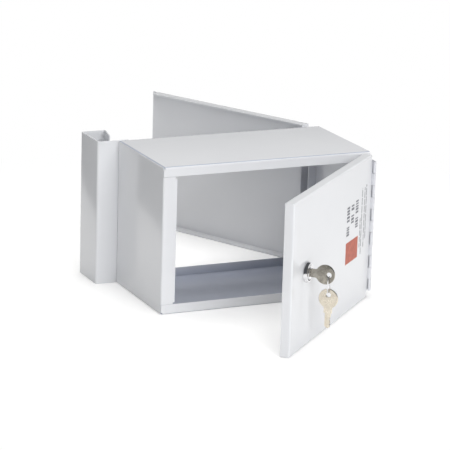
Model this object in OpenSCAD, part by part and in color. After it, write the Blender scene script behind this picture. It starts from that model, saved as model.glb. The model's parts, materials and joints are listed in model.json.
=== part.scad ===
// Hanging drop box of folded sheet steel, with a locking front door, a plain rear door and a wall hook.
// It lies on its long side with both doors ajar, a key in the lock and a spare key hanging from it.
// X runs from the hook end to the hinge end, Y from front to rear, and Z up.
// The origin is the middle of the face that the box lies on.

/* [Body] */
// Width of the body, hook end to hinge end
body_w = 238.5; // [200:0.5:320]
// Depth of the body, front frame to rear frame
body_d = 127; // [110:1:200]
// Height of the body as it lies
body_h = 158.7; // [130:0.1:220]
// Thickness of the sheet steel of the body and doors
sheet_t = 1.2; // [0.8:0.1:1.5]
// Inner radius of the folds
fold_r = 0.8; // [0.4:0.1:1.2]
// Width of the frame flanges on the two long walls
rail_w = 10.5; // [8:0.5:20]
// Width of the frame flanges at the hook end
hook_stile_w = 15.5; // [14:0.5:30]
// Width of the frame flanges at the hinge end
hinge_stile_w = 10.5; // [8:0.5:25]
// Width of the tabs that join the end panel to the long walls
lap_w = 11; // [6:0.5:20]
// Gap at the cut edges where two flanges meet
corner_gap = 0.3; // [0.2:0.1:0.6]
// Side of the small relief notch at each frame corner
notch_w = 2; // [1:0.5:3]

/* [Hook] */
// Thickness of the hook's steel
hook_t = 1.5; // [1.2:0.1:2]
// How far the hook stands out from the end of the body
hook_out = 23.5; // [16:0.5:40]
// Depth of the hook, from the rear frame to its outer back
hook_d = 50.5; // [40:0.5:90]
// Length of the hook's back leg, over the folds
hook_back_w = 28.2; // [18:0.2:29]
// Length of the hook's return lip
lip_w = 26; // [10:0.5:32]
// Lean of the return lip towards the hook's web, in degrees
lip_lean = 11; // [0:1:20]
// Width of the part of the hook that is welded on the rear frame
hook_seat_w = 12; // [8:0.5:14]

/* [Doors] */
// Depth of the front door's flanges, from its face
front_pan_d = 10.2; // [8:0.2:14]
// Depth of the rear door's flanges, from its face
rear_pan_d = 12.3; // [8:0.2:16]
// Gap between a closed door and the frame
door_gap = 0.4; // [0.3:0.1:1]
// Gap between a door and the level of each long wall
edge_gap = 0.3; // [0.2:0.1:1]
// How far the rear door stops short of the hook end
rear_door_short = 4.5; // [4:0.5:8]
// Clear space between the welded hook and the rear door's flanges
seat_gap = 1.5; // [1:0.5:4]
// How far the front door stands open, in degrees
front_open = 44; // [0:1:120]
// How far the rear door stands open, in degrees
rear_open = 64; // [0:1:120]

/* [Hinges] */
// Thickness of the hinge leaves
leaf_t = 0.9; // [0.6:0.1:1.2]
// Radius of the hinge pin
pin_r = 0.75; // [0.6:0.05:1.2]
// Running clearance round the hinge pin
pin_fit = 0.05; // [0.02:0.01:0.08]
// Length of each continuous hinge
hinge_l = 143; // [100:1:155]
// Number of knuckles in each hinge
knuckle_n = 11; // [5:2:15]
// Gap between neighbouring knuckles
knuckle_gap = 0.3; // [0.2:0.05:0.5]
// Clear space between a knuckle and the other leaf
leaf_gap = 0.35; // [0.3:0.05:0.6]
// Gap between the pin line and a door's face
barrel_stand = 2.1; // [1.9:0.1:4]
// How far the body leaves lie on the end panel
leaf_lap = 13; // [8:0.5:30]

/* [Lock] */
// Distance from the lock to the front door's free edge
lock_edge = 40.6; // [36:0.2:60]
// Radius of the lock's face flange
bezel_r = 10.6; // [10.2:0.1:14]
// Height of the lock's face flange
bezel_h = 4.2; // [2:0.1:4.4]
// Radius of the lock's threaded barrel
barrel_r = 9.3; // [8.8:0.1:9.8]
// Distance across the flats of the barrel
barrel_flats = 16.8; // [16.2:0.2:17.4]
// Radius of the turning plug
plug_r = 6; // [5.8:0.1:6.4]
// Running clearance round the plug
plug_fit = 0.05; // [0.02:0.01:0.08]
// How far the plug stands proud of the door's face
plug_nose = 5; // [4.9:0.1:7]
// Length of the cam from the lock's axis
cam_l = 33; // [31:0.5:36]
// Width of the cam
cam_w = 13; // [10:0.5:15]
// Thickness of the cam
cam_t = 2; // [1.5:0.1:3]
// Gap between the cam and the frame when locked
cam_gap = 0.5; // [0.3:0.1:1.5]
// Side of the square tail that carries the cam
tail_w = 7; // [6:0.1:7.4]
// Height of the nut across its flats
nut_flats = 22; // [21:0.5:26]
// Thickness of the nut
nut_t = 4; // [2.5:0.1:5]
// Number of wafers in the plug
wafer_n = 5; // [3:1:5]
// Thickness of a wafer
wafer_t = 1; // [0.8:0.05:1.1]
// How far the wafers drop when the key leaves
wafer_drop = 1; // [0.6:0.1:1.1]

/* [Keys] */
// Radius of a key's bow
bow_r = 10.1; // [9:0.1:12]
// Thickness of a key
key_t = 1.8; // [1.4:0.1:2]
// Radius of the hole in a key's bow
key_hole_r = 2.7; // [2.5:0.1:4]
// Distance from the middle of the bow to its hole
key_hole_off = 4.2; // [3.5:0.1:5]
// Distance from the middle of the bow to the shoulder
shoulder_l = 15; // [14:0.1:20]
// Width of the shoulder
shoulder_w = 8.7; // [7.5:0.1:12]
// Radius of the fillets between the bow and the shoulder
neck_r = 3; // [1:0.5:5]
// Length of the blade
blade_l = 15.6; // [14:0.1:16]
// Width of the blade
blade_w = 6; // [5:0.1:6.4]
// Diameter of the wire of the link between the keys
link_wire = 1.2; // [0.8:0.1:1.6]
// Width of the link over its wire
link_w = 9; // [7:0.1:12]
// Length of the link over its wire
link_l = 17.9; // [16:0.1:26]

/* [Hidden] */
$fn = 64;

// Finishes
powder_white = [0.93, 0.94, 0.96];
hinge_white = [0.88, 0.89, 0.92];
bright_chrome = [0.78, 0.79, 0.8];
zinc_steel = [0.62, 0.63, 0.65];
key_nickel = [0.55, 0.54, 0.5];
spare_nickel = [0.85, 0.82, 0.72];
wafer_brass = [0.78, 0.64, 0.36];

// Folds and clearances
outer_r = fold_r + sheet_t;
fold_over = 0.5;
flat_fit = 0.1;
seat_fit = 0.3;
cut_over = 1;

// Hinges: both leaves are tangent to the knuckles, with the body leaf flat on the end panel
knuckle_bore_r = pin_r + pin_fit;
knuckle_r = knuckle_bore_r + leaf_t;
leaf_start = knuckle_r + leaf_gap;
knuckle_pitch = hinge_l / knuckle_n;
hinge_z = (body_h - hinge_l) / 2;
pin_x = body_w / 2 - knuckle_r + leaf_t;
front_stand = front_pan_d + door_gap;
rear_stand = rear_pan_d + door_gap;
front_pin_y = -body_d / 2 - front_stand - barrel_stand;
rear_pin_y = body_d / 2 + rear_stand + barrel_stand;

// Doors: the hinge side of each pan carries its leaf on the outside
pan_hinge_x = pin_x - knuckle_r;
door_h = body_h - 2 * edge_gap;
front_door_w = pan_hinge_x + body_w / 2;
rear_door_w = front_door_w - rear_door_short;
rear_flange_cut = hook_seat_w + seat_gap - rear_door_short;

// Lock, along its own axis from the front door's face
lock_x = -body_w / 2 + lock_edge;
lock_z = body_h / 2;
plug_bore_r = plug_r + plug_fit;
cam_top = -(front_stand + sheet_t + cam_gap);
stop_t = 1;
barrel_end = cam_top + stop_t + 3 * flat_fit;
tail_end = cam_top - cam_t;
rim_side_h = 0.3 * bezel_h;
rim_slope_w = 1.2;
rim_flat_w = 1;
dish_h = 0.6 * bezel_h;
dish_r = plug_r + 1.4;
collar_r = plug_r + 1.2;
collar_h = bezel_h + 0.4;
lock_turn = 90;
lug_in_r = plug_r + 1.5;
lug_h = 0.9;
lug_clear_angle = 4;
stop_plate_r = lug_in_r - seat_fit;
tab_w = 2.4;
tab_angle = 16;
screw_r = 1.5;
screw_head_r = 3.4;
screw_head_h = 2.2;
screw_slot_w = 0.6;
screw_slot_depth = 1;
lock_washer_r = barrel_r + 2.1;
lock_washer_t = 0.8;
cam_washer_r = tail_w / 2 + 2;
cam_hub_r = cam_w / 2 + 1.5;
keyway_w = key_t + 0.4;
keyway_h = blade_w + 0.5;
wafer_w = 7;
wafer_pitch = 2;
wafer_first = -1.4;
wafer_r = plug_r - flat_fit;
window_fit = 0.4;
window_w = keyway_w + window_fit;
window_low = keyway_h / 2 + flat_fit;
window_high = blade_w / 2 + wafer_drop + window_fit;
groove_r = plug_r + wafer_drop + window_fit;
groove_w = wafer_w + 2 * seat_fit;

// Keys: the bow's middle is the key's own origin, with the blade pointing to minus X
key_out = plug_nose + seat_fit + shoulder_l;
bit_depths = [0.9, 1.3, 0.5, 1.1, 0.7];
bit_w = 0.5;
first_bit = 5;
tip_w = 2;
tip_l = 2;
neck_over = 0.01;
neck_y = shoulder_w / 2 + neck_r;
neck_x = -sqrt(pow(bow_r + neck_r, 2) - pow(neck_y, 2));
groove_depth = 0.4;
groove_t = 1;
link_mid_r = (link_w - link_wire) / 2;
link_straight = link_l - link_w;
link_top = -key_hole_r + seat_fit + link_wire / 2;
link_low = link_top - link_straight - 2 * link_mid_r;
spare_hole_y = link_low + link_wire / 2 + seat_fit - key_hole_r;
spare_bow_y = spare_hole_y - key_hole_off;
hang_out = key_out + key_hole_off;

// Sheet metal: one fold of the strip, turning to the left about its inner radius.
// A fold that isn't square runs a hair into the next leg, so that the two are one piece.
module fold_2d(turn, t, r) {
    reach = 2 * (r + t);
    angle = turn == 90 ? turn : turn + fold_over;
    intersection() {
        difference() {
            circle(r + t);
            circle(r);
        }
        polygon([
            [0, 0],
            [0, -reach],
            [reach * sin(angle / 2), -reach * cos(angle / 2)],
            [reach * sin(angle), -reach * cos(angle)]
        ]);
    }
}

// Edge view of a folded strip: each leg is a straight length and the fold that follows it.
// The strip starts at the origin towards plus X, with its outer face on the X axis.
module strip_2d(legs, t, r, i = 0) {
    if (i < len(legs)) {
        straight = legs[i][0];
        turn = legs[i][1];
        if (straight > 0) square([straight, t]);
        if (turn > 0) translate([straight, t + r]) {
            fold_2d(turn, t, r);
            rotate(turn) translate([0, -t - r]) strip_2d(legs, t, r, i + 1);
        }
    }
}

// A run of edge view through the depth of the body, between its front and rear folds
module through_body() {
    run = body_d - 2 * outer_r;
    translate([0, run / 2, 0]) rotate([90, 0, 0]) linear_extrude(run) children();
}

// Fold and flange along the front edge of a wall that lies on top at Z 0, with the flange hanging down.
// The flange alone runs on past each end of the fold by the lengths in ends.
module edge_flange(length, leg, ends = [0, 0]) {
    rotate([90, 0, 90]) linear_extrude(length) translate([outer_r, 0]) rotate(180)
        strip_2d([[0, 90], [leg - outer_r, 0]], sheet_t, fold_r);
    translate([-ends[0], 0, -leg]) cube([length + ends[0] + ends[1], sheet_t, leg - outer_r - corner_gap]);
}

// The same shape on the front and rear edges
module front_and_rear() {
    children();
    mirror([0, 1, 0]) children();
}

// The two long walls and the hook end in one fold, with a frame flange along every open edge
module body_wrap() {
    rail_run = body_w - outer_r;
    stile_run = body_h - 2 * (rail_w + corner_gap);
    color(powder_white) {
        through_body() translate([body_w / 2, body_h]) rotate(180)
            strip_2d([[rail_run, 90], [body_h - 2 * outer_r, 90], [rail_run, 0]], sheet_t, fold_r);
        front_and_rear() {
            for (low = [0, 1]) translate([0, 0, low * body_h]) mirror([0, 0, 1 - low])
                translate([-body_w / 2 + outer_r, -body_d / 2, 0])
                    edge_flange(rail_run, rail_w, [outer_r - corner_gap, 0]);
            difference() {
                translate([-body_w / 2, -body_d / 2, rail_w + corner_gap]) rotate([0, -90, 0])
                    edge_flange(stile_run, hook_stile_w);
                for (z = [rail_w, body_h - rail_w - notch_w])
                    translate([-body_w / 2 + hook_stile_w - notch_w, -body_d / 2 - cut_over, z])
                        cube([notch_w + cut_over, sheet_t + 2 * cut_over, notch_w]);
            }
        }
    }
}

// The hinge end: a separate panel with lap tabs under the long walls and a frame flange front and rear
module hinge_end_panel() {
    stile_run = body_h - 2 * (rail_w + corner_gap);
    color(powder_white) {
        through_body() translate([body_w / 2 - lap_w, body_h - sheet_t]) mirror([0, 1])
            strip_2d([[lap_w - outer_r, 90], [body_h - 2 * (sheet_t + outer_r), 90], [lap_w - outer_r, 0]],
                sheet_t, fold_r);
        front_and_rear() translate([body_w / 2, -body_d / 2, rail_w + corner_gap]) mirror([1, 0, 0])
            rotate([0, -90, 0]) edge_flange(stile_run, hinge_stile_w);
    }
}

// Full-height hook that goes over the top of a door or wall, welded on the rear frame
module wall_hook() {
    hook_outer_r = fold_r + hook_t;
    front_run = hook_seat_w + hook_out - hook_outer_r;
    color(powder_white) linear_extrude(body_h)
        translate([-body_w / 2 + hook_seat_w, body_d / 2]) mirror([1, 0])
            strip_2d([
                [front_run, 90],
                [hook_d - 2 * hook_outer_r, 90],
                [hook_back_w - 2 * hook_outer_r, 90 + lip_lean],
                [lip_w - hook_outer_r, 0]
            ], hook_t, fold_r);
}

// Plan of a block whose front corners are rounded
module round_front_2d(w, d, r) {
    translate([0, r]) square([w, d - r]);
    translate([r, 0]) square([w - 2 * r, r]);
    for (x = [r, w - r]) translate([x, r]) circle(r);
}

// Block with rounded edges round its front face
module round_front_block(w, h, d, r) {
    intersection() {
        linear_extrude(h) round_front_2d(w, d, r);
        translate([w, 0, 0]) rotate([0, -90, 0]) linear_extrude(w) round_front_2d(h, d, r);
    }
}

// Folded door pan with welded corners, open to the rear
module door_pan(w, h, d) {
    difference() {
        round_front_block(w, h, d, outer_r);
        translate([sheet_t, sheet_t, sheet_t])
            round_front_block(w - 2 * sheet_t, h - 2 * sheet_t, d, fold_r);
    }
}

// Moves what is drawn for closed doors to where the doors stand
module front_door_at_rest() {
    translate([pin_x, front_pin_y, 0]) rotate([0, 0, front_open])
        translate([-pin_x, -front_pin_y, 0]) children();
}

module rear_door_at_rest() {
    translate([pin_x, rear_pin_y, 0]) rotate([0, 0, -rear_open])
        translate([-pin_x, -rear_pin_y, 0]) children();
}

// Frame of the lock: Z points out of the front door's face, and Y up
module lock_at_rest() {
    front_door_at_rest() translate([lock_x, -body_d / 2 - front_stand, lock_z])
        rotate([90, 0, 0]) children();
}

module front_door() {
    color(powder_white) front_door_at_rest() difference() {
        translate([-body_w / 2, -body_d / 2 - front_stand, edge_gap])
            door_pan(front_door_w, door_h, front_pan_d);
        translate([lock_x, -body_d / 2 - front_stand, lock_z]) rotate([90, 0, 0])
            barrel_solid(barrel_r + flat_fit, barrel_flats / 2 + flat_fit, sheet_t + 2 * cut_over,
                -sheet_t - cut_over);
    }
}

// The rear door has no flange at its free edge, and its long flanges stop short of the welded hook
module rear_door() {
    extra = outer_r + cut_over;
    free_x = pan_hinge_x - rear_door_w;
    color(powder_white) rear_door_at_rest() mirror([0, 1, 0])
        translate([free_x, -body_d / 2 - rear_stand, edge_gap]) difference() {
            translate([-extra, 0, 0]) door_pan(rear_door_w + extra, door_h, rear_pan_d);
            translate([-extra - cut_over, -cut_over, -cut_over])
                cube([extra + cut_over, rear_pan_d + 2 * cut_over, door_h + 2 * cut_over]);
            translate([0, sheet_t, 0]) linear_extrude(door_h) polygon([
                [-cut_over, 0],
                [rear_flange_cut - rear_pan_d / 2, 0],
                [rear_flange_cut, rear_pan_d / 2],
                [rear_flange_cut, rear_pan_d],
                [-cut_over, rear_pan_d]
            ]);
        }
}

// Hinge leaf with its own knuckles, drawn about the pin line: first is 0 for the leaf with the end knuckles
module hinge_leaf(leaf_w, first) {
    translate([-knuckle_r, leaf_start, 0]) cube([leaf_t, leaf_w - leaf_start, hinge_l]);
    for (i = [first : 2 : knuckle_n - 1]) translate([0, 0, i * knuckle_pitch + knuckle_gap / 2])
        linear_extrude(knuckle_pitch - knuckle_gap) difference() {
            union() {
                circle(knuckle_r);
                translate([-knuckle_r, 0]) square([leaf_t, leaf_start]);
            }
            circle(knuckle_bore_r);
        }
}

module front_hinge_body_leaf() {
    leaf_w = barrel_stand + front_stand + leaf_lap;
    color(hinge_white) translate([pin_x, front_pin_y, hinge_z]) mirror([1, 0, 0])
        hinge_leaf(leaf_w, 0);
}

module front_hinge_door_leaf() {
    leaf_w = barrel_stand + front_pan_d;
    color(hinge_white) front_door_at_rest() translate([pin_x, front_pin_y, hinge_z])
        hinge_leaf(leaf_w, 1);
}

module rear_hinge_body_leaf() {
    leaf_w = barrel_stand + rear_stand + leaf_lap;
    color(hinge_white) translate([pin_x, rear_pin_y, hinge_z]) rotate(180)
        hinge_leaf(leaf_w, 0);
}

module rear_hinge_door_leaf() {
    leaf_w = barrel_stand + rear_pan_d;
    color(hinge_white) rear_door_at_rest() translate([pin_x, rear_pin_y, hinge_z]) mirror([0, 1, 0])
        hinge_leaf(leaf_w, 1);
}

module front_hinge_pin() {
    color(zinc_steel) translate([pin_x, front_pin_y, hinge_z]) cylinder(r = pin_r, h = hinge_l);
}

module rear_hinge_pin() {
    color(zinc_steel) translate([pin_x, rear_pin_y, hinge_z]) cylinder(r = pin_r, h = hinge_l);
}

// Round bar with two flats
module barrel_solid(r, half_flats, h, z) {
    translate([0, 0, z]) linear_extrude(h) intersection() {
        circle(r);
        square([2 * half_flats, 3 * r], center = true);
    }
}

// Chromed housing: dished face flange, barrel with flats, and a rear lug that stops the turn
module lock_housing() {
    lug_gap = tab_angle / 2 + lug_clear_angle;
    groove_z = wafer_first + wafer_pitch - wafer_n * wafer_pitch - wafer_t;
    color(bright_chrome) lock_at_rest() difference() {
        union() {
            rotate_extrude() polygon([
                [plug_r - cut_over, 0],
                [bezel_r, 0],
                [bezel_r, rim_side_h],
                [bezel_r - rim_slope_w, bezel_h],
                [bezel_r - rim_slope_w - rim_flat_w, bezel_h],
                [dish_r, dish_h],
                [collar_r, collar_h],
                [plug_r - cut_over, collar_h]
            ]);
            barrel_solid(barrel_r, barrel_flats / 2, -barrel_end, barrel_end);
            translate([0, 0, barrel_end - lug_h]) rotate(90 + lug_gap)
                rotate_extrude(angle = 360 - lock_turn - 2 * lug_gap) translate([lug_in_r, 0])
                    square([barrel_flats / 2 - lug_in_r, lug_h]);
        }
        translate([0, 0, barrel_end - lug_h - cut_over])
            cylinder(r = plug_bore_r, h = collar_h - barrel_end + lug_h + 2 * cut_over);
        for (turned = [0, -lock_turn]) rotate(turned) translate([0, 0, groove_z])
            linear_extrude(wafer_n * wafer_pitch) intersection() {
                circle(groove_r);
                translate([-groove_w / 2, -groove_r]) square([groove_w, groove_r]);
            }
    }
}

module lock_washer() {
    color(zinc_steel) lock_at_rest() translate([0, 0, -sheet_t - lock_washer_t]) difference() {
        cylinder(r = lock_washer_r, h = lock_washer_t);
        translate([0, 0, -cut_over]) cylinder(r = barrel_r + flat_fit, h = lock_washer_t + 2 * cut_over);
    }
}

module lock_nut() {
    corner_r = nut_flats / sqrt(3);
    color(zinc_steel) lock_at_rest() translate([0, 0, -sheet_t - lock_washer_t - nut_t]) difference() {
        cylinder(r = corner_r, h = nut_t, $fn = 6);
        translate([0, 0, -cut_over]) cylinder(r = barrel_r + flat_fit, h = nut_t + 2 * cut_over);
    }
}

// Turning plug with its keyway, wafer slots, square tail and screw hole
module lock_plug() {
    keyway_end = plug_nose - blade_l;
    slot_t = wafer_t + 2 * flat_fit;
    color(bright_chrome) lock_at_rest() difference() {
        union() {
            translate([0, 0, barrel_end]) cylinder(r = plug_r, h = plug_nose - barrel_end);
            translate([-tail_w / 2, -tail_w / 2, tail_end]) cube([tail_w, tail_w, barrel_end - tail_end]);
        }
        translate([-keyway_w / 2, -keyway_h / 2, keyway_end])
            cube([keyway_w, keyway_h, plug_nose - keyway_end + cut_over]);
        for (i = [0 : wafer_n - 1])
            translate([0, 0, wafer_first - i * wafer_pitch - wafer_t / 2])
                cube([wafer_w + 2 * flat_fit, 2 * (plug_r + cut_over), slot_t], center = true);
        translate([0, 0, tail_end - cut_over])
            cylinder(r = screw_r + flat_fit, h = cut_over + cam_t + stop_t);
    }
}

// Washer whose tab meets the housing's lug at each end of a quarter turn
module stop_washer() {
    color(zinc_steel) lock_at_rest() translate([0, 0, cam_top + flat_fit])
        linear_extrude(stop_t) difference() {
            union() {
                circle(stop_plate_r);
                translate([-tab_w / 2, 0]) square([tab_w, barrel_flats / 2]);
            }
            square(tail_w + 2 * flat_fit, center = true);
        }
}

// Flat cam, hanging down when unlocked
module lock_cam() {
    color(zinc_steel) lock_at_rest() translate([0, 0, tail_end]) linear_extrude(cam_t) difference() {
        union() {
            circle(cam_hub_r);
            translate([-cam_w / 2, -cam_l + cam_w / 2]) square([cam_w, cam_l - cam_w / 2]);
            translate([0, -cam_l + cam_w / 2]) circle(cam_w / 2);
        }
        square(tail_w + 2 * flat_fit, center = true);
    }
}

module cam_washer() {
    color(zinc_steel) lock_at_rest() translate([0, 0, tail_end - lock_washer_t]) difference() {
        cylinder(r = cam_washer_r, h = lock_washer_t);
        translate([0, 0, -cut_over]) cylinder(r = screw_r + flat_fit, h = lock_washer_t + 2 * cut_over);
    }
}

module cam_screw() {
    color(zinc_steel) lock_at_rest() translate([0, 0, tail_end - lock_washer_t - screw_head_h]) difference() {
        union() {
            cylinder(r = screw_head_r, h = screw_head_h);
            cylinder(r = screw_r, h = screw_head_h + lock_washer_t + cam_t + stop_t - 2 * seat_fit);
        }
        for (turned = [0, 90]) rotate(turned)
            cube([2 * screw_r, screw_slot_w, 2 * screw_slot_depth], center = true);
    }
}

// Sprung wafers: the key's blade passes through their windows and holds them inside the plug
module wafers() {
    color(wafer_brass) lock_at_rest() for (i = [0 : wafer_n - 1])
        translate([0, 0, wafer_first - i * wafer_pitch - wafer_t]) linear_extrude(wafer_t) difference() {
            intersection() {
                circle(wafer_r);
                square([wafer_w, 2 * wafer_r], center = true);
            }
            translate([-window_w / 2, -window_low]) square([window_w, window_low + window_high]);
        }
}

// Flat of a key, with the bow about the origin, filleted into the shoulder, and the blade towards minus X
module key_2d() {
    difference() {
        union() {
            circle(bow_r);
            translate([-shoulder_l, -shoulder_w / 2]) square([shoulder_l, shoulder_w]);
            difference() {
                polygon([[0, 0], [neck_x, neck_y], [neck_x, -neck_y]]);
                for (side = [-1, 1]) translate([neck_x, side * neck_y]) circle(neck_r + neck_over);
            }
            translate([-shoulder_l - blade_l, 0]) polygon([
                [0, -tip_w / 2],
                [tip_l, -blade_w / 2],
                [blade_l, -blade_w / 2],
                [blade_l, blade_w / 2],
                [tip_l, blade_w / 2],
                [0, tip_w / 2]
            ]);
        }
        translate([key_hole_off, 0]) circle(key_hole_r);
        for (i = [0 : len(bit_depths) - 1])
            translate([-shoulder_l - first_bit - i * wafer_pitch, -blade_w / 2 + bit_depths[i]]) polygon([
                [-bit_w / 2, 0],
                [bit_w / 2, 0],
                [bit_w / 2 + bit_depths[i], -bit_depths[i]],
                [-bit_w / 2 - bit_depths[i], -bit_depths[i]]
            ]);
    }
}

// A cut key with a milled groove along each side of the blade
module cut_key() {
    difference() {
        translate([0, 0, -key_t / 2]) linear_extrude(key_t) key_2d();
        for (side = [-1, 1]) translate([0, groove_t / 2, side * key_t / 2 - groove_depth])
            translate([-shoulder_l - blade_l - cut_over, 0, 0])
                cube([blade_l + cut_over, groove_t, 2 * groove_depth]);
    }
}

// The key in the lock: its flat stands upright, with the blade into the plug
module key() {
    color(key_nickel) lock_at_rest() translate([0, 0, key_out]) rotate([0, -90, 0]) cut_key();
}

// Oval wire link through both bows
module key_link() {
    color(bright_chrome) lock_at_rest() translate([0, link_top - link_mid_r, hang_out]) {
        for (low = [0, 1]) translate([0, -low * link_straight, 0]) mirror([0, low, 0])
            rotate_extrude(angle = 180) translate([link_mid_r, 0]) circle(d = link_wire, $fn = 24);
        for (side = [-1, 1]) translate([side * link_mid_r, 0, 0]) rotate([90, 0, 0])
            cylinder(d = link_wire, h = link_straight, $fn = 24);
    }
}

// The spare key hangs from the link with its blade down
module spare_key() {
    color(spare_nickel) lock_at_rest() translate([0, spare_bow_y, hang_out])
        rotate([0, -90, 0]) rotate(90) cut_key();
}

body_wrap();
hinge_end_panel();
wall_hook();
front_hinge_body_leaf();
front_hinge_pin();
rear_hinge_body_leaf();
rear_hinge_pin();
front_door();
front_hinge_door_leaf();
lock_housing();
lock_washer();
lock_nut();
lock_plug();
stop_washer();
lock_cam();
cam_washer();
cam_screw();
wafers();
key();
key_link();
spare_key();
rear_door();
rear_hinge_door_leaf();
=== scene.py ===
# Hanging drop box of folded sheet steel, with front and rear doors, a cam lock and two keys.
import json
from math import cos, pi, radians, sin

import bmesh
import bpy
import numpy as np
from mathutils import Matrix, Vector


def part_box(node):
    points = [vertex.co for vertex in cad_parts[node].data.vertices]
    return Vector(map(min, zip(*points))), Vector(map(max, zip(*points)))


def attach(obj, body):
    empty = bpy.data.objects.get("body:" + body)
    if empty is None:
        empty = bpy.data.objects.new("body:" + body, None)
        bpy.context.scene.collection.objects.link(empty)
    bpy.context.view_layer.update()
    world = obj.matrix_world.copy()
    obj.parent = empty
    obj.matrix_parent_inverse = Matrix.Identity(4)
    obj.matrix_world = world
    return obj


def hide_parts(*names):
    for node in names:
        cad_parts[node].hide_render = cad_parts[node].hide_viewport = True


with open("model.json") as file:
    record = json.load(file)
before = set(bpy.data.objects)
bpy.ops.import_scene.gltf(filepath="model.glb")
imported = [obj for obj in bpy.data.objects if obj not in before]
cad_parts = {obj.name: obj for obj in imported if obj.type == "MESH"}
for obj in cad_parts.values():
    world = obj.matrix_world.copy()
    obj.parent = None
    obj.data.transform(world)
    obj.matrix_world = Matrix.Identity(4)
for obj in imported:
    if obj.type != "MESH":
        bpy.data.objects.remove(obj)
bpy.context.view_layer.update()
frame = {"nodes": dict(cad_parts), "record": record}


# Camera: a long lens in front of the hook end, a little above the box, as photographed.
# It was fitted to the corners of the box in the picture, and is tipped by a degree or two.
camera_place = Vector((-1.1065, -2.3972, 0.7854))
camera_azimuth, camera_elevation, camera_roll = radians(-24.39), radians(15.15), radians(1.67)
photo_width_px = 450
focal_px = 2536.4
sensor_mm = 36
near_clip, far_clip = 0.05, 30

camera_data = bpy.data.cameras.new("camera")
camera_data.sensor_width = sensor_mm
camera_data.lens = sensor_mm * focal_px / photo_width_px
camera_data.clip_start, camera_data.clip_end = near_clip, far_clip
camera = bpy.data.objects.new("camera", camera_data)
bpy.context.collection.objects.link(camera)
camera.matrix_world = (Matrix.Translation(camera_place) @ Matrix.Rotation(camera_azimuth, 4, "Z")
                       @ Matrix.Rotation(pi / 2 - camera_elevation, 4, "X")
                       @ Matrix.Rotation(camera_roll, 4, "Z"))
bpy.context.scene.camera = camera


# Body: sheet steel about 1.2 mm thick, sheared, folded and spot welded, then powder coated in one go.
# The coat is a semi-gloss white with a faint orange peel, and it rounds every cut edge a little.
# Inside, on and near the two long walls, a bluish grey is painted into the coat as shade, fading out
# towards the middle.
coat_white = (0.825, 0.835, 0.86, 1)
coat_shade = (0.805, 0.815, 0.842, 1)
# Painted shade: the bluish grey that stands in for the shade inside the body.
painted_inner_shade = (0.47, 0.5, 0.585, 1)
coat_roughness = 0.13
coat_edge = 0.00022
cloud_per_m = 9
peel_per_m = 450
peel_height = 0.00002
peel_strength = 0.12
half_sheet = 0.0006
fade_height = 0.058
body_low, body_high = (Vector(corner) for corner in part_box("body_wrap"))
inside_half = (body_high - body_low) / 2 - Vector((half_sheet, half_sheet, 0))


def new_material(name):
    """An empty node material and its shader: returns the material, its nodes, its links and the shader."""
    material = bpy.data.materials.new(name)
    material.use_nodes = True
    nodes, links = material.node_tree.nodes, material.node_tree.links
    return material, nodes, links, nodes["Principled BSDF"]


def object_noise(nodes, links, per_m, detail):
    """Noise in the piece's own space, with per_m features to the metre."""
    noise = nodes.new("ShaderNodeTexNoise")
    noise.inputs["Scale"].default_value = per_m
    noise.inputs["Detail"].default_value = detail
    links.new(nodes.new("ShaderNodeTexCoord").outputs["Object"], noise.inputs["Vector"])
    return noise.outputs["Fac"]


def ramp(nodes, links, value, low, high):
    """A colour that goes from low to high in a straight line as the noise value goes from 0.35 to 0.65."""
    band = nodes.new("ShaderNodeValToRGB")
    for stop, position, colour in zip(band.color_ramp.elements, (0.35, 0.65), (low, high)):
        stop.position = position
        stop.color = colour
    links.new(value, band.inputs["Fac"])
    return band.outputs["Color"]


def relief(nodes, links, shader, value, height, strength):
    """Bump of the given height in metres from a value of 0 to 1."""
    bump = nodes.new("ShaderNodeBump")
    bump.inputs["Strength"].default_value = strength
    bump.inputs["Distance"].default_value = height
    links.new(value, bump.inputs["Height"])
    links.new(bump.outputs["Normal"], shader.inputs["Normal"])


def math_node(nodes, links, operation, first, second):
    """A maths node on two inputs, each a number or a socket."""
    node = nodes.new("ShaderNodeMath")
    node.operation = operation
    for slot, value in zip(node.inputs, (first, second)):
        if isinstance(value, (int, float)):
            slot.default_value = value
        else:
            links.new(value, slot)
    return node.outputs[0]


def sloped(nodes, links, value, start, stop):
    """0 at start and 1 at stop, with a smooth S-shaped slope between."""
    slope = nodes.new("ShaderNodeMapRange")
    slope.interpolation_type = "SMOOTHSTEP"
    slope.inputs["From Min"].default_value = start
    slope.inputs["From Max"].default_value = stop
    links.new(value, slope.inputs["Value"])
    return slope.outputs["Result"]


def painted_shade_by_long_walls(nodes, links):
    """Share of painted shade: 1 on the inner faces of the two long walls, falling to 0 at fade_height from
    the middle of the body.

    It is 0 on everything outside the body's inner space."""
    split = nodes.new("ShaderNodeSeparateXYZ")
    links.new(nodes.new("ShaderNodeTexCoord").outputs["Object"], split.inputs[0])
    middle = (body_low + body_high) / 2
    off_middle = [math_node(nodes, links, "ABSOLUTE", math_node(nodes, links, "SUBTRACT", along, centre), 0)
                  for along, centre in zip(split.outputs, middle)]
    share = sloped(nodes, links, off_middle[2], fade_height, inside_half[2])
    for distance, half in zip(off_middle, inside_half):
        share = math_node(nodes, links, "MULTIPLY", share,
                          math_node(nodes, links, "LESS_THAN", distance, half))
    return share


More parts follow.
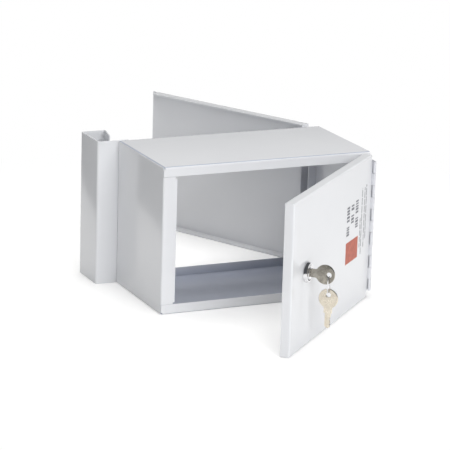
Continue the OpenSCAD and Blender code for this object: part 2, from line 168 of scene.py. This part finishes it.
def powder_coat(name, white, shade, roughness, second_tone=None):
    """Semi-gloss powder coat: faint clouds, a fine orange peel and, if second_tone is given, that colour
    painted in as shade by the long walls inside.
    """
    material, nodes, links, shader = new_material(name)
    tone = ramp(nodes, links, object_noise(nodes, links, cloud_per_m, detail=4), shade, white)
    # Painted shade: the second colour is mixed in by the long walls inside the body.
    if second_tone:
        mix = nodes.new("ShaderNodeMix")
        mix.data_type = "RGBA"
        links.new(painted_shade_by_long_walls(nodes, links), mix.inputs["Factor"])
        links.new(tone, mix.inputs[6])
        mix.inputs[7].default_value = second_tone
        tone = mix.outputs[2]
    links.new(tone, shader.inputs["Base Color"])
    shader.inputs["Roughness"].default_value = roughness
    peel = object_noise(nodes, links, peel_per_m, detail=1)
    relief(nodes, links, shader, peel, peel_height, peel_strength)
    return material


coat = powder_coat("white_powder_coat", coat_white, coat_shade, coat_roughness)
# The body's coat carries the painted inner shade.
shaded_body_coat = powder_coat("body_powder_coat_painted_shade", coat_white, coat_shade, coat_roughness, painted_inner_shade)
weld_distance = 0.000002
flat_angle = radians(0.4)
sharp_angle = radians(32)


def eased_copy(node, name, edge, material, steps=2, outer_only=False):
    """A copy of the node's solid that stands for it, with each sharp edge rounded over a width of edge.

    Corners are welded and flat faces joined first. With outer_only, inner corners stay sharp."""
    source = frame["nodes"][node].data
    places = np.empty(len(source.vertices) * 3)
    source.vertices.foreach_get("co", places)
    corners = np.empty(len(source.loops), dtype=int)
    source.loops.foreach_get("vertex_index", corners)
    mesh = bpy.data.meshes.new(name)
    mesh.from_pydata(places.reshape(-1, 3).tolist(), [], corners.reshape(-1, 3).tolist())
    shell = bmesh.new()
    shell.from_mesh(mesh)
    bmesh.ops.remove_doubles(shell, verts=shell.verts, dist=weld_distance)
    bmesh.ops.dissolve_limit(shell, angle_limit=flat_angle, verts=shell.verts, edges=shell.edges)
    if outer_only:
        weight = shell.edges.layers.float.new("bevel_weight_edge")
        for fold in shell.edges:
            fold[weight] = float(fold.is_convex and fold.calc_face_angle(0) > sharp_angle)
    shell.to_mesh(mesh)
    shell.free()
    piece = bpy.data.objects.new(name, mesh)
    bpy.context.collection.objects.link(piece)
    mesh.shade_smooth()
    mesh.set_sharp_from_angle(angle=sharp_angle)
    rounding = piece.modifiers.new("edge", "BEVEL")
    rounding.width = edge
    rounding.segments = steps
    rounding.limit_method = "WEIGHT" if outer_only else "ANGLE"
    rounding.angle_limit = sharp_angle
    rounding.harden_normals = True
    mesh.materials.append(material)
    bodies = frame["record"]["behaviour"]["bodies"]
    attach(piece, next(body for body, members in bodies.items() if node in members))
    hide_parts(node)
    return piece


for node, finish in (("body_wrap", shaded_body_coat), ("hinge_end_panel", shaded_body_coat), ("wall_hook", coat)):
    eased_copy(node, node + "_coated", coat_edge, finish)


# Doors: two shallow pans folded from the same sheet, coated like the body.
# The front one has welded and ground corners, and the rear one has no flange at its free edge.
door_edge = 0.0003
for node in ("front_door", "rear_door"):
    eased_copy(node, node + "_coated", door_edge, coat)


# Print on the front door: one orange field and plain grey bars, screen printed as a film on the coat.
# It lies in the door's own plane, placed from the hinge edge towards the free edge and up from the foot.
film = 0.00006
pin_to_edge = 0.0017
pin_to_face = 0.0021
orange_ink = (0.43, 0.075, 0.03, 1)
grey_ink = (0.09, 0.095, 0.12, 1)
ink_roughness = 0.42
ink_patch_per_m = 260
thin_ink_gain, thin_ink_lift = 1.25, 0.01
joints = {joint["name"]: joint for joint in frame["record"]["behaviour"]["joints"]}
front_joint = joints["front_door_hinge"]
front_pin = np.array(front_joint["pos_m"])
front_turn = -radians(front_joint["range_deg"][0])
door_along = np.array([-cos(front_turn), -sin(front_turn), 0])
door_out = np.array([sin(front_turn), -cos(front_turn), 0])
door_up = np.array([0, 0, 1.0])


def door_points(along, up, out):
    """Points on the door: the pin line, plus along from the hinge edge, plus up and out from the face."""
    along, up, out = np.broadcast_arrays(along, up, out)
    foot = np.array([front_pin[0], front_pin[1], 0])
    return (foot + (along + pin_to_edge)[..., None] * door_along + up[..., None] * door_up
            + (out - pin_to_face)[..., None] * door_out)


def ink(name, colour):
    """Matt ink, a little lighter in patches where less of it lies."""
    material, nodes, links, shader = new_material(name)
    second_tone = tuple(min(1, part * thin_ink_gain + thin_ink_lift) for part in colour[:3]) + (1,)
    patches = object_noise(nodes, links, ink_patch_per_m, detail=4)
    links.new(ramp(nodes, links, patches, colour, second_tone), shader.inputs["Base Color"])
    shader.inputs["Roughness"].default_value = ink_roughness
    return material


def film_blocks(name, blocks, material):
    """One piece of printed film. Each block is a row of along-low, along-high, up-low and up-high.

    A block gets eight corners, four a film's depth under the door's face and four as far above it."""
    blocks = np.array(blocks)
    along = blocks[:, [0, 1, 1, 0] * 2]
    up = blocks[:, [2, 2, 3, 3] * 2]
    out = np.repeat([-film, film], 4)
    places = door_points(along, up, out)
    sides = np.array([[4, 7, 6, 5], [0, 1, 2, 3], [0, 4, 5, 1], [1, 5, 6, 2], [2, 6, 7, 3], [3, 7, 4, 0]])
    faces = (sides + 8 * np.arange(len(blocks))[:, None, None]).reshape(-1, 4)
    mesh = bpy.data.meshes.new(name)
    mesh.from_pydata(places.reshape(-1, 3).tolist(), [], faces.tolist())
    mesh.materials.append(material)
    piece = bpy.data.objects.new(name, mesh)
    bpy.context.collection.objects.link(piece)
    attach(piece, "front_door")


most_bars = 200
bar_share, bar_spread = 0.32, (0.5, 1.0)
gap_share, gap_spread = 0.17, (0.6, 1.1)
group_gap_share = 0.5


def bar_row(along, length, low, high, group, seed):
    """Side by side bars of one length and uneven width, from low up to high, in groups.

    Widths and gaps are random shares of the length, and their running sum places the bars."""
    draw = np.random.default_rng(seed)
    widths = draw.uniform(*bar_spread, most_bars) * length * bar_share
    gaps = draw.uniform(*gap_spread, most_bars) * length * gap_share
    gaps[group - 1::group] += length * group_gap_share
    ends = low + np.cumsum(widths + gaps)
    starts = ends - widths
    inside = ends < high
    middle = np.full(inside.sum(), along)
    return np.stack([middle - length / 2, middle + length / 2, starts[inside], ends[inside]], axis=1)


# Each row of bars: its place along the door, the bars' length, its low and high end, and bars in a group.
large_bar, small_bar = 0.0082, 0.0022
bar_rows = [(0.0715, large_bar, 0.0850, 0.1200, 5), (0.0580, large_bar, 0.0960, 0.1180, 4),
            (0.0445, large_bar, 0.0880, 0.1240, 5), (0.0330, small_bar, 0.0640, 0.0960, 7),
            (0.0285, small_bar, 0.0560, 0.1290, 9), (0.0205, small_bar, 0.0620, 0.1270, 8),
            (0.0155, small_bar, 0.0700, 0.1300, 10)]
orange_block = [0.0385, 0.0763, 0.0553, 0.0787]
film_blocks("orange_field", [orange_block], ink("orange_ink", orange_ink))
bars = [bar_row(*row, seed) for seed, row in enumerate(bar_rows)]
film_blocks("printed_bars", np.concatenate(bars), ink("grey_ink", grey_ink))


# Hinges: continuous hinges rolled from thin steel strip, spot welded on and coated with the box.
# The coat is a little greyer and duller over the knuckles, and the pins are plain zinc-plated wire.
knuckle_white = (0.78, 0.79, 0.82, 1)
knuckle_shade = (0.7, 0.71, 0.75, 1)
knuckle_roughness = 0.3
leaf_edge = 0.00008
zinc_bright = (0.62, 0.63, 0.65, 1)
zinc_dull = (0.48, 0.49, 0.51, 1)
zinc_roughness = 0.3
dull_patch_per_m = 180
scratch_depth = 0.00001
scratch_strength = 0.25
hinge_coat = powder_coat("hinge_coat", knuckle_white, knuckle_shade, knuckle_roughness)
for side in ("front", "rear"):
    for half in ("body", "door"):
        eased_copy(f"{side}_hinge_{half}_leaf", f"{side}_hinge_{half}_leaf_coated", leaf_edge, hinge_coat,
                   steps=1)


def span(nodes, links, value, low, high):
    """A number that goes from low to high as the noise value goes from 0.3 to 0.7."""
    spread = nodes.new("ShaderNodeMapRange")
    spread.inputs["From Min"].default_value = 0.3
    spread.inputs["From Max"].default_value = 0.7
    spread.inputs["To Min"].default_value = low
    spread.inputs["To Max"].default_value = high
    links.new(value, spread.inputs["Value"])
    return spread.outputs["Result"]


def plated(name, bright, dull, roughness, scratch_per_m=900):
    """Plated metal: a bright tone that drifts to a dull one, with fine scratches in its gloss and relief.

    The roughness goes from 0.7 to 1.5 times the given one with the scratches."""
    material, nodes, links, shader = new_material(name)
    patches = object_noise(nodes, links, dull_patch_per_m, detail=5)
    links.new(ramp(nodes, links, patches, dull, bright), shader.inputs["Base Color"])
    scratches = object_noise(nodes, links, scratch_per_m, detail=6)
    links.new(span(nodes, links, scratches, roughness * 0.7, roughness * 1.5), shader.inputs["Roughness"])
    relief(nodes, links, shader, scratches, scratch_depth, scratch_strength)
    shader.inputs["Metallic"].default_value = 1.0
    return material


def refinish(node, material):
    """Gives the node, whose own shape stays, a new material."""
    slots = frame["nodes"][node].data.materials
    slots.clear()
    slots.append(material)


zinc = plated("zinc_plate", zinc_bright, zinc_dull, zinc_roughness)
for side in ("front", "rear"):
    refinish(f"{side}_hinge_pin", zinc)


# Lock: a die-cast, chrome-plated cam lock with brass wafers, clamped in the door by its nut and washer.
# The nut, the washers, the cam and its screw are zinc plated. Each piece is listed with the width of
# its rounded edges, its finish and its slot.
chrome_bright = (0.8, 0.8, 0.81, 1)
chrome_dull = (0.7, 0.7, 0.72, 1)
chrome_roughness = 0.09
chrome_scratch_per_m = 1500
brass_bright = (0.78, 0.6, 0.3, 1)
brass_dull = (0.6, 0.44, 0.2, 1)
brass_roughness = 0.3
chrome = plated("chrome_plate", chrome_bright, chrome_dull, chrome_roughness, chrome_scratch_per_m)
brass = plated("wafer_brass_metal", brass_bright, brass_dull, brass_roughness)
lock_edges = {"lock_housing": (0.00025, chrome, "chrome"), "lock_plug": (0.0002, chrome, "chrome"),
              "lock_nut": (0.0004, zinc, "zinc_steel"), "lock_washer": (0.0001, zinc, "zinc_steel"),
              "stop_washer": (0.0001, zinc, "zinc_steel"), "lock_cam": (0.00025, zinc, "zinc_steel"),
              "cam_washer": (0.0001, zinc, "zinc_steel"), "cam_screw": (0.0002, zinc, "zinc_steel")}
for node, (edge, finish, slot) in lock_edges.items():
    eased_copy(node, node + "_finished", edge, finish, outer_only=True)

# The wafers stand a hair nearer the face than their solids, so that they drop clear of their groove's end.
wafer_edge = 0.00004
wafer_shift = 0.00003
wafers = eased_copy("wafers", "wafers_finished", wafer_edge, brass, outer_only=True)
wafers.data.transform(Matrix.Translation(Vector(joints["lock_turn"]["axis"]) * -wafer_shift))


# Keys: blanks stamped from sheet metal, nickel plated, then cut to their bitting.
# Both keys have one plating: the first is painted darker as shade and as the dark surroundings it mirrors,
# the spare keeps the pale colour, and a bent wire link joins them.
key_edge = 0.0002
# Painted shade and painted reflection: the first key's colour, darkened for the shade and the dark mirrored
# surroundings it shows.
shaded_key_bright = (0.48, 0.455, 0.4, 1)
shaded_key_dull = (0.33, 0.31, 0.27, 1)
shaded_key_roughness = 0.2
pale_bright = (0.88, 0.81, 0.69, 1)
pale_dull = (0.78, 0.71, 0.59, 1)
pale_roughness = 0.3
nickel_with_painted_shade = plated("nickel_with_painted_shade", shaded_key_bright, shaded_key_dull, shaded_key_roughness)
pale_nickel = plated("pale_nickel", pale_bright, pale_dull, pale_roughness)
eased_copy("key", "key_finished", key_edge, nickel_with_painted_shade)
eased_copy("spare_key", "spare_key_finished", key_edge, pale_nickel)
refinish("key_link", chrome)


# Studio: a plain white floor, with strong soft lamps in front and overhead and weaker ones around.
# The floor fades to pure white away from the part. The coat mirrors it as far as the table's left edge.
pure_white = (1, 1, 1, 1)
top_tint = (1, 0.985, 0.96)
lamp_aim = Vector((0, 0, 0.08))
floor_size = 12
floor_white = 0.88
floor_roughness = 0.9
floor_gloss = 0.1
floor_lift = 0.24
fade_from, fade_to = 0.28, 0.62
table_edge = -0.27
dim_studio = 0.12
room_tint = (0.9, 0.95, 1, 1)
room_level = 0.1

floor_mesh = bpy.data.meshes.new("floor")
reach = floor_size / 2
floor_mesh.from_pydata([(-reach, -reach, 0), (reach, -reach, 0), (reach, reach, 0), (-reach, reach, 0)],
                       [], [(0, 1, 2, 3)])
floor = bpy.data.objects.new("floor", floor_mesh)
bpy.context.collection.objects.link(floor)


def emitter(nodes, colour, strength):
    """An emission shader."""
    glow = nodes.new("ShaderNodeEmission")
    glow.inputs["Color"].default_value = colour
    glow.inputs["Strength"].default_value = strength
    return glow.outputs[0]


def mixed(nodes, links, share, first, second):
    """The first shader where the share is 0, and the second where it is 1."""
    mix = nodes.new("ShaderNodeMixShader")
    links.new(share, mix.inputs[0])
    links.new(first, mix.inputs[1])
    links.new(second, mix.inputs[2])
    return mix.outputs[0]


def floor_material():
    """White floor: plain to light that bounces, lifted and faded to pure white where seen or mirrored."""
    material, nodes, links, shader = new_material("floor_white")
    shader.inputs["Base Color"].default_value = (floor_white, floor_white, floor_white, 1)
    shader.inputs["Roughness"].default_value = floor_roughness
    shader.inputs["Specular IOR Level"].default_value = floor_gloss
    place = nodes.new("ShaderNodeTexCoord").outputs["Object"]
    length = nodes.new("ShaderNodeVectorMath")
    length.operation = "LENGTH"
    links.new(place, length.inputs[0])
    split = nodes.new("ShaderNodeSeparateXYZ")
    links.new(place, split.inputs[0])
    path = nodes.new("ShaderNodeLightPath").outputs
    lift = nodes.new("ShaderNodeAddShader")
    links.new(shader.outputs[0], lift.inputs[0])
    links.new(emitter(nodes, pure_white, floor_lift), lift.inputs[1])
    away = sloped(nodes, links, length.outputs["Value"], fade_from, fade_to)
    faded = mixed(nodes, links, away, lift.outputs[0], emitter(nodes, pure_white, 1))
    seen = math_node(nodes, links, "MAXIMUM", path["Is Camera Ray"], path["Is Transmission Ray"])
    seen = math_node(nodes, links, "MAXIMUM", seen, path["Is Glossy Ray"])
    beyond = math_node(nodes, links, "LESS_THAN", split.outputs["X"], table_edge)
    beyond = math_node(nodes, links, "MULTIPLY", beyond, path["Is Glossy Ray"])
    whole = mixed(nodes, links, seen, shader.outputs[0], faded)
    whole = mixed(nodes, links, beyond, whole, emitter(nodes, room_tint, dim_studio))
    links.new(whole, nodes["Material Output"].inputs["Surface"])
    return material


floor_mesh.materials.append(floor_material())


def soft_lamp(name, place, width, height, power, colour=(1, 1, 1)):
    """A rectangular lamp at place, turned to the part. It lights the part but isn't mirrored in it."""
    data = bpy.data.lights.new(name, "AREA")
    data.shape = "RECTANGLE"
    data.size, data.size_y, data.energy, data.color = width, height, power, colour
    lamp = bpy.data.objects.new(name, data)
    lamp.location = place
    lamp.rotation_euler = (lamp_aim - Vector(place)).to_track_quat("-Z", "Y").to_euler()
    lamp.visible_glossy = False
    bpy.context.collection.objects.link(lamp)


soft_lamp("front_lamp", place=(-0.1, -2.3, 1.15), width=1.5, height=1.2, power=34)
soft_lamp("right_lamp", place=(2.3, -0.9, 0.5), width=1.0, height=0.8, power=4.8)
soft_lamp("left_lamp", place=(-2.0, -0.9, 0.8), width=1.2, height=0.5, power=1.4)
soft_lamp("rear_lamp", place=(0.3, 1.9, 2.4), width=1.2, height=0.9, power=12)
soft_lamp("top_lamp", place=(0, 0, 2.4), width=2.2, height=2.2, power=46, colour=top_tint)

world = bpy.data.worlds.new("room")
bpy.context.scene.world = world
world.use_nodes = True
world_nodes, world_links = world.node_tree.nodes, world.node_tree.links
room = world_nodes["Background"]
room.inputs["Color"].default_value = room_tint
room.inputs["Strength"].default_value = room_level
white = world_nodes.new("ShaderNodeBackground")
white.inputs["Color"].default_value = pure_white
white.inputs["Strength"].default_value = 1
seen = world_nodes.new("ShaderNodeLightPath").outputs["Is Camera Ray"]
sky = mixed(world_nodes, world_links, seen, room.outputs[0], white.outputs[0])
world_links.new(sky, world_nodes["World Output"].inputs["Surface"])

bpy.context.scene.view_settings.view_transform = "Standard"

bpy.context.view_layer.update()
